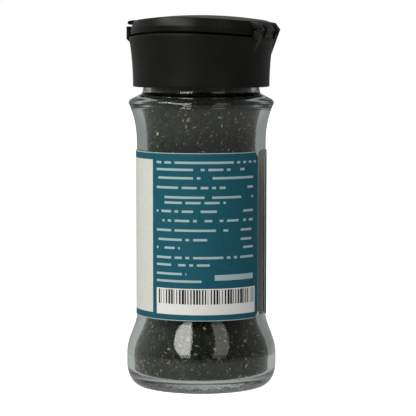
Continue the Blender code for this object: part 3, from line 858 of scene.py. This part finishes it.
capSizes = {
    "sides": 256,
    "skirtBottom": 92.0 * mm,
    "skirtBottomRadius": 20.9 * mm,
    "rim": 22.1 * mm,
    "rimTop": 108.25 * mm,
    "rimStraight": 1.2 * mm,
    "skirtPower": 2.0,
    "skirtWall": 1.5 * mm,
    "rimWall": 1.3 * mm,
    "deckTop": 104.9 * mm,
    "deckThickness": 1.2 * mm,
    "snapBead": 18.05 * mm,
    "snapBeadHeight": 95.0 * mm,
    "plug": 15.35 * mm,
    "plugWall": 1.0 * mm,
    "plugBottom": 101.7 * mm,
    "hole": 1.6 * mm,
    "holeRings": ((1, 0.0), (6, 5.6 * mm), (12, 11.2 * mm)),
    "drop": 1.45 * mm,  # the rim is lower at the front and the hinge than at the sides
    "dropTop": 107.4 * mm,
}

lidSizes = {
    "radius": 21.6 * mm,
    "bottom": 108.85 * mm,
    "wallTop": 110.55 * mm,
    "edge": 20.7 * mm,
    "edgeHeight": 113.0 * mm,
    "top": 113.8 * mm,
    "wall": 1.3 * mm,
    "seal": 18.0 * mm,
    "sealWall": 1.0 * mm,
    "sealGap": 0.4 * mm,
}

hingeSizes = {
    "y": 22.83 * mm,
    "z": 109.35 * mm,
    "halfWidth": 8.1 * mm,
    "slotInner": 3.2 * mm,
    "slotOuter": 5.6 * mm,
    "slotFloor": 106.4 * mm,
    "tip": 0.08 * mm,
    "fold": 0.3 * mm,
    "footY": 19.55 * mm,
    "footZ": 101.0 * mm,
    "topY": 21.3 * mm,
    "topZ": 111.4 * mm,
    "rootZ": 112.1 * mm,
    "slitDepth": 0.7 * mm,
    "slits": ((2.0 * mm, 0.8 * mm, 1.1 * mm), (6.7 * mm, 1.3 * mm, 1.9 * mm)),  # x, width, height
    "film": 0.26 * mm,
    "gusset": 2.4 * mm,
    "gussetRows": 8,
    "sill": 0.68 * mm,
    "sillDepth": 1.5 * mm,
    "sillFoot": 0.6 * mm,
    "lidGap": 0.1 * mm,
    "sunk": 0.02 * mm,
    "slitTop": 0.4 * mm,
    "bracketEdge": 0.13 * mm,
    "strapEdge": 0.2 * mm,
}

frontSizes = {
    "halfAngle": 20.0,
    "plate": 22.9 * mm,
    "plateBottom": 105.5 * mm,
    "plateTop": 110.35 * mm,
    "lip": 22.6 * mm,
    "lipBottom": 110.85 * mm,
    "lipTop": 112.3 * mm,
    "lipCrest": 20.4 * mm,
    "lipTail": (18.6 * mm, 111.9 * mm),
    "clearance": 0.35 * mm,
}


def capOutline(s):
    deckBottom = s["deckTop"] - s["deckThickness"]
    inside = s["skirtBottomRadius"] - s["skirtWall"]
    bead = s["snapBeadHeight"]
    skirtFoot = (s["skirtBottomRadius"], s["skirtBottom"])
    skirt = flareCurve(skirtFoot, (s["rim"], s["rimTop"] - s["rimStraight"]), s["skirtPower"], 20)
    top = rounded([
        (0.0, s["deckTop"]),
        (s["rim"] - s["rimWall"], s["deckTop"], 0.5 * mm),
        (s["rim"] - s["rimWall"], s["rimTop"], 0.2 * mm),
        (s["rim"], s["rimTop"], 0.3 * mm),
        skirt[-1],
    ])
    low = rounded([
        skirt[1],
        (*skirt[0], 0.35 * mm),
        (inside, s["skirtBottom"], 0.3 * mm),
        (inside, bead - 1.3 * mm, 0.3 * mm),
        (s["snapBead"], bead - 0.4 * mm, 0.4 * mm),
        (s["snapBead"], bead + 0.4 * mm, 0.4 * mm),
        (inside, bead + 1.3 * mm, 0.3 * mm),
        (inside, deckBottom, 0.5 * mm),
        (s["plug"], deckBottom, 0.3 * mm),
        (s["plug"], s["plugBottom"], 0.3 * mm),
        (s["plug"] - s["plugWall"], s["plugBottom"], 0.3 * mm),
        (s["plug"] - s["plugWall"], deckBottom, 0.4 * mm),
        (0.0, deckBottom),
    ])
    return top + skirt[-2:1:-1] + low


def drop(s, y, z):
    share = min(1.0, max(0.0, (z - s["deckTop"]) / (s["dropTop"] - s["deckTop"])))
    return s["drop"] * share * (y / s["rim"]) ** 2


def rimLow(s):
    return s["rimTop"] - s["drop"] - 0.05 * mm


def curveTop(piece):
    for vert in piece.data.vertices:
        vert.co.z -= drop(capSizes, vert.co.y, vert.co.z)


def holeTree():
    # bores one ring of holes through whatever mesh it is given
    tree, given = newTree("holeRing", {
        "Holes": "Int", "Ring radius": "Float", "Hole radius": "Float", "Height": "Float",
        "Material": "Material",
    })
    turn = calculate(tree, "DIVIDE", math.tau, given["Holes"])
    angle = multiply(tree, turn, addNode(tree, "GeometryNodeInputIndex").outputs[0])
    x, y = [
        multiply(tree, calculate(tree, wave, angle), given["Ring radius"])
        for wave in ("COSINE", "SINE")
    ]
    place = addNode(tree, "ShaderNodeCombineXYZ", inputs={0: x, 1: y, 2: given["Height"]})
    points = addNode(tree, "GeometryNodePoints", inputs={
        "Count": given["Holes"], "Position": place.outputs[0],
    })
    drill = addNode(tree, "GeometryNodeMeshCylinder", inputs={
        "Vertices": 40, "Radius": given["Hole radius"], "Depth": 6 * mm,
    })
    drills = addNode(tree, "GeometryNodeInstanceOnPoints", inputs={
        "Points": points.outputs[0], "Instance": drill.outputs["Mesh"],
    })
    cut = addNode(tree, "GeometryNodeMeshBoolean", {"operation": "DIFFERENCE", "solver": "EXACT"}, {
        0: given["Geometry"], 1: drills.outputs[0],
    })
    endTree(tree, cut.outputs["Mesh"], given["Material"])
    return tree


def blackPlastic(name, tone, roughness):
    # polypropylene, injection moulded in a spark-eroded mould: black, satin, with a fine grain that
    # spreads the highlights, and a little dust
    material, tree, shader = newMaterial(name, {"IOR": 1.49, "Specular IOR Level": 0.19})
    grain = noise(tree, 3600.0, 3.0)  # 0.28 mm
    flow = noise(tree, 110.0, 4.0)  # 9 mm
    dust = cells(tree, 420.0)  # specks 2.4 mm apart
    speck = calculate(tree, "LESS_THAN", dust, 0.045)
    base = colourRamp(tree, flow, [(0.3, tone[0]), (0.7, tone[1])])
    colour = mixColour(tree, multiply(tree, speck, 0.35), base, linear("#6d6d68"))
    feed(shader, "Base Color", colour)
    shine = mapRange(tree, flow, (0.3, 0.7), (roughness - 0.04, roughness + 0.05))
    feed(shader, "Roughness", shine)
    bumpSurface(tree, shader, 0.3, 0.03 * mm, grain)
    return material


def strapSpans(h):
    return (
        (-h["halfWidth"], -h["slotOuter"]),
        (-h["slotInner"], h["slotInner"]),
        (h["slotOuter"], h["halfWidth"]),
    )


def bracketY(h, height):
    share = (height - h["footZ"]) / (h["z"] - h["footZ"])
    return h["footY"] + (h["y"] - h["tip"] - h["footY"]) * share


def gusset(h, cap, side):
    # the bracket's side runs into the skirt with a slope instead of a step
    bm = bmesh.new()
    rings = []
    edge = h["halfWidth"] - h["sunk"]
    wall = 0.985 * cap["skirtBottomRadius"]
    for i in range(h["gussetRows"] + 1):
        share = i / h["gussetRows"]
        z = h["footZ"] + (h["slotFloor"] - h["footZ"]) * share
        reach = h["gusset"] * math.sin(math.pi / 2 * share)
        face = bracketY(h, z) - h["sunk"]
        corners = [
            (edge, face),
            (edge + 0.3 * reach, face - 0.22 * reach),
            (edge + reach, math.sqrt(wall**2 - (edge + reach) ** 2)),
            (edge, 0.8 * wall),
        ]
        rings.append([bm.verts.new((side * x, y, z)) for x, y in corners])
    for low, high in zip(rings, rings[1:]):
        for k in range(4):
            j = (k + 1) % 4
            bm.faces.new((low[k], low[j], high[j], high[k]))
    bm.faces.new(rings[0])
    bm.faces.new(rings[-1])
    return newPiece("gusset", bm)


def barrel(*wall):
    # what is cut from a hinge half, so that it ends at the wall behind it: (radius, height) points
    low, high = 80 * mm, 120 * mm
    outline = [(0, low), (wall[0][0], low), *wall, (wall[-1][0], high), (0, high)]
    return lathe("barrel", outline, 192)


def fixedHingeHalf(h, cap, lid):
    back = 0.8 * cap["rim"]
    tip = h["z"] - h["fold"] / 2
    floor = h["slotFloor"]
    root = [(back, h["footZ"]), (h["footY"], h["footZ"])]
    whole = (-h["halfWidth"], h["halfWidth"])
    room = lid["radius"] + h["lidGap"]
    sillTop = rimLow(cap) + h["sill"]
    sillFoot = rimLow(cap) - h["sillFoot"]
    # a low sill under the lid closes the view through the slots
    sill = [
        (room - h["sillDepth"], sillFoot), (room - h["sillDepth"], sillTop + 0.1 * mm),
        (room, sillTop), (bracketY(h, sillFoot) - 0.4 * mm, sillFoot),
    ]
    parts = [
        sidePrism("bracket", root + [(bracketY(h, floor), floor), (back, floor)], *whole),
        gusset(h, cap, 1), gusset(h, cap, -1), sidePrism("sill", sill, *whole),
    ] + [sidePrism("strap", root + [(bracketY(h, tip), tip), (back, tip)], *span) for span in strapSpans(h)]
    modifier = addBoolean(parts[0], "UNION")
    modifier.operand_type = "COLLECTION"
    modifier.collection = group = shapeCollection("straps", parts[1:])
    parts[0].data = shapedMesh(parts[0])
    dropCollection(group)
    slits = []
    top = h["z"] - h["slitTop"]
    out = h["y"] + h["slitDepth"]
    deep = h["y"] - h["tip"] - h["slitDepth"]
    for x, width, height in h["slits"] + tuple((-x, *size) for x, *size in h["slits"]):
        outline = [(deep, top - height), (out, top - height), (out, top), (deep, top)]
        slits.append(sidePrism("slit", outline, x - width / 2, x + width / 2))
    cutAway(parts[0], [barrel((cap["rim"] - 1.0 * mm, sillTop), (room, sillTop))] + slits)
    softenEdges(parts[0], h["bracketEdge"])
    return parts[0]


def movingHingeHalf(h, lid):
    back = 0.8 * lid["radius"]
    tip = h["z"] + h["fold"] / 2
    outline = [(back, tip), (h["y"] - h["tip"], tip), (h["topY"], h["topZ"]), (back, h["rootZ"])]
    wall = lid["radius"] - 1.0 * mm
    straps = []
    for span in strapSpans(h):
        strap = sidePrism("strap", outline, *span)
        cutAway(strap, [barrel((wall, 90 * mm))])
        softenEdges(strap, h["strapEdge"])
        straps.append(strap)
    return straps


def frontArc(name, outline, halfAngle):
    half = math.radians(halfAngle)
    return lathe(name, outline, 32, closed=True, sector=2 * half, start=-math.pi / 2 - half)


def frontPlate(f, cap, lid):
    inside = lid["radius"] + f["clearance"]
    root = cap["rim"] - 0.7 * mm
    step = rimLow(cap)
    outline = rounded([
        (root, f["plateBottom"]),
        (f["plate"] - 1.0 * mm, f["plateBottom"]),
        (f["plate"], f["plateBottom"] + 1.0 * mm, 0.4 * mm),
        (f["plate"], f["plateTop"], 0.2 * mm),
        (inside, f["plateTop"], 0.15 * mm),
        (inside, step),
        (root, step),
    ], closed=True)
    return frontArc("plate", outline, f["halfAngle"])


def thumbLip(f, lid):
    root = lid["radius"] - 1.0 * mm
    tail, tailHeight = f["lipTail"]
    outline = rounded([
        (root, f["lipBottom"]),
        (f["lip"] - 0.5 * mm, f["lipBottom"], 0.3 * mm),
        (f["lip"], f["lipBottom"] + 0.4 * mm, 0.3 * mm),
        (f["lip"], f["lipBottom"] + 0.75 * mm, 0.4 * mm),
        (f["lip"] - 0.4 * mm, f["lipBottom"] + 1.2 * mm, 0.5 * mm),
        (f["lipCrest"], f["lipTop"], 1.5 * mm),
        (tail, tailHeight),
        (tail, tailHeight - 0.5 * mm),
        (root, f["lipBottom"] + 0.5 * mm),
    ], closed=True)
    return frontArc("lip", outline, f["halfAngle"])


def makeCap():
    s = capSizes
    plastic = blackPlastic("mouldedCapPlastic", ("#0f0f0b", "#13130e"), 0.4)
    cap = lathe("capBody", capOutline(s), s["sides"])
    tree = holeTree()
    for count, ring in s["holeRings"]:
        bored = runTree("capBody", cap, tree, {
            "Holes": count, "Ring radius": ring, "Hole radius": s["hole"],
            "Height": s["deckTop"] - s["deckThickness"] / 2, "Material": plastic,
        })
        dropPieces([cap])
        cap = bored
    curveTop(cap)
    joinInto(cap, [fixedHingeHalf(hingeSizes, s, lidSizes), frontPlate(frontSizes, s, lidSizes)])
    cap.name = "capBody"
    shadeSmooth(cap, 36)
    finishPiece(cap, "jar", "cap_body", [plastic])


def domeHeight(s, radius):
    return s["top"] - (s["top"] - s["edgeHeight"]) * (radius / s["edge"]) ** 2


def makeLid():
    s = lidSizes
    inside = s["radius"] - s["wall"]
    ceiling = s["edge"] - s["wall"]
    sealInside = s["seal"] - s["sealWall"]
    sealBottom = capSizes["deckTop"] + s["sealGap"]
    dome = [(s["edge"] * share, domeHeight(s, s["edge"] * share)) for share in np.linspace(0, 0.96, 22)]
    outline = dome + rounded([
        dome[-1],
        (s["edge"] - 0.05 * mm, s["edgeHeight"] - 0.02 * mm, 0.35 * mm),
        (s["radius"], s["wallTop"], 0.25 * mm),
        (s["radius"], s["bottom"], 0.2 * mm),
        (inside, s["bottom"], 0.2 * mm),
        (inside, s["wallTop"], 0.4 * mm),
        (ceiling, domeHeight(s, ceiling) - s["wall"], 0.5 * mm),
        (s["seal"], domeHeight(s, s["seal"]) - s["wall"], 0.3 * mm),
        (s["seal"], sealBottom, 0.3 * mm),
        (sealInside, sealBottom, 0.3 * mm),
        (sealInside, domeHeight(s, sealInside) - s["wall"], 0.3 * mm),
        (0.5 * sealInside, domeHeight(s, 0.5 * sealInside) - s["wall"]),
        (0.0, s["top"] - s["wall"]),
    ])[1:]
    lid = lathe("flipLid", outline, capSizes["sides"])
    curveTop(lid)
    joinInto(lid, movingHingeHalf(hingeSizes, s) + [thumbLip(frontSizes, s)])
    shadeSmooth(lid, 36)
    plastic = blackPlastic("mouldedLidPlastic", ("#0d0d0a", "#11110d"), 0.36)
    finishPiece(lid, "lid", "lid", [plastic])


def makeHingeFilm():
    # the thin fold between the straps, drawn on the cap's side: a web with a bead along its outer edge
    h = hingeSizes
    half = h["fold"] / 2 - 0.02 * mm
    back = lidSizes["radius"] + frontSizes["clearance"]
    bead = arcPoints((h["y"] - h["film"], h["z"]), (h["film"], h["film"]), -145, 145, 14)
    films = []
    for low, high in strapSpans(h):
        inner = math.sqrt(back**2 - min(abs(low), abs(high)) ** 2) if low * high > 0 else back
        ring = [(inner, h["z"] - half)] + bead + [(inner, h["z"] + half)]
        films.append(sidePrism("hingeFilm", ring, low + 0.15 * mm, high - 0.15 * mm))
    joinInto(films[0], films[1:])
    shadeSmooth(films[0])
    films[0].name = "hingeFilm"
    plastic = blackPlastic("hingeFilmPlastic", ("#141412", "#181816"), 0.34)
    finishPiece(films[0], "jar", "cap_body", [plastic])


# studio

studio = {
    "azimuth": 112.0,  # degrees from the front of the jar, towards +X
    "distance": 637 * mm,
    "height": 108.5 * mm,
    "pitch": 4.832,
    "yaw": 0.185,
    "lens": 179.7,  # mm, on a 36 mm sensor
    "backdrop": 1.0,
    "fill": 0.36,
    "room": (0.42, 0.22),  # behind the jar, on the left and on the right
    "floor": "#f4f5f5",
    "floorMirrored": (0.37, 0.22),  # what the glass shows of it: near the jar, and far away
    "lampDistance": 1.0,
    "lampColour": "#fffcf7",
    # corners in degrees to the camera's right and degrees up, and radiance
    "lamps": {
        "leftSoftbox": ([(-18, 10), (-33, 10), (-55, 34), (-55, 50), (-18, 50)], 5.3),
        "rightSoftbox": ([(40, 10), (17, 10), (26, 34), (26, 50), (54, 50), (54, 34)], 1.1),
        "highPanel": ([(-58, 37), (-88, 37), (-88, 58), (-58, 58)], 9.0),
    },
}


def direction(azimuth, elevation):
    a, e = math.radians(azimuth), math.radians(elevation)
    return Vector((math.sin(a) * math.cos(e), -math.cos(a) * math.cos(e), math.sin(e)))


def makeCamera():
    s = studio
    data = bpy.data.cameras.new("camera")
    data.lens = s["lens"]
    data.sensor_width = 36.0
    data.clip_start = 0.01
    camera = bpy.data.objects.new("camera", data)
    camera.location = direction(s["azimuth"], 0) * s["distance"] + Vector((0, 0, s["height"]))
    camera.rotation_euler = (math.radians(90 - s["pitch"]), 0, math.radians(s["azimuth"] - s["yaw"]))
    bpy.context.scene.collection.objects.link(camera)
    bpy.context.scene.camera = camera


def makeLamps():
    # soft boxes with straight edges: each is a glowing sheet that the jar mirrors but the camera doesn't see
    s = studio
    for name, (corners, radiance) in s["lamps"].items():
        bm = bmesh.new()
        ways = [direction(s["azimuth"] + side, up) * s["lampDistance"] for side, up in corners]
        bm.faces.new([bm.verts.new(way + Vector((0, 0, 50 * mm))) for way in ways])
        bmesh.ops.triangulate(bm, faces=bm.faces)
        lamp = newPiece(name, bm, recalculate=False)
        glow = newMaterial(name, {
            "Base Color": grey(0.0), "Specular IOR Level": 0.0,
            "Emission Color": linear(s["lampColour"]), "Emission Strength": radiance,
        })
        lamp.data.materials.append(glow[0])
        lamp.visible_camera = False
        lamp.visible_shadow = False


def byRay(tree, mirrored):
    # what the studio gives to mirrored rays, to the fill and to the camera
    path = addNode(tree, "ShaderNodeLightPath").outputs
    level = mixColour(tree, path["Is Diffuse Ray"], mirrored, grey(studio["fill"]))
    return mixColour(tree, path["Is Camera Ray"], level, grey(studio["backdrop"]))


def makeWorld():
    # the backdrop is white and the fill is even; the glass and the plastic mirror a grey room, lighter on
    # the left than on the right, and dark round the camera
    s = studio
    world = bpy.data.worlds.new("studio")
    world.use_nodes = True
    tree = world.node_tree
    background = tree.nodes["Background"]
    way = addNode(tree, "ShaderNodeTexCoord").outputs["Generated"]
    toCamera, toRight = direction(s["azimuth"], 5), direction(s["azimuth"] + 90, 0)
    facing, aside = [
        addNode(tree, "ShaderNodeVectorMath", {"operation": "DOT_PRODUCT"}, {0: way, 1: axis}).outputs[1]
        for axis in (toCamera, toRight)
    ]
    depth = colourRamp(tree, mapRange(tree, facing, (-1.0, 1.0), (0.0, 1.0)), [
        (0.0, 1.0), (0.5, 0.9), (0.75, 0.45), (0.93, 0.15), (1.0, 0.06),
    ])
    level = mapRange(tree, aside, (-0.5, 0.5), s["room"])
    room = addNode(tree, "ShaderNodeVectorMath", {"operation": "SCALE"}, {0: depth, "Scale": level})
    feed(background, "Color", byRay(tree, room.outputs[0]))
    bpy.context.scene.world = world


def makeFloor():
    # painted board, white to the camera; what the glass and the plastic mirror of it is dimmer
    bm = bmesh.new()
    bmesh.ops.create_circle(bm, cap_ends=True, segments=128, radius=2.5)
    floor = newPiece("studioFloor", bm, recalculate=False)
    material, tree, shader = newMaterial("paintedBoard", {
        "Roughness": 0.6, "Specular IOR Level": 0.2, "Emission Strength": 1.0,
    })
    place = objectPlace(tree)
    cloud = noise(tree, 6.0, 2.0)
    colour = colourRamp(tree, cloud, [(0.3, studio["floor"]), (0.7, "#f7f8f8")])
    toCamera = addNode(tree, "ShaderNodeLightPath").outputs["Is Camera Ray"]
    feed(shader, "Base Color", mixColour(tree, toCamera, grey(0.05), colour))
    away = addNode(tree, "ShaderNodeVectorMath", {"operation": "LENGTH"}, {0: place}).outputs["Value"]
    mirrored = mapRange(tree, away, (0.03, 0.6), studio["floorMirrored"], "SMOOTHSTEP")
    feed(shader, "Emission Color", byRay(tree, mirrored))
    floor.data.materials.append(material)


makeCamera()
makeLamps()
makeWorld()
makeFloor()
bpy.context.scene.view_settings.view_transform = "Standard"
print("studio ready")
makeJar()
makeFlakes()
makeLabel()
makeCap()
makeLid()
makeHingeFilm()
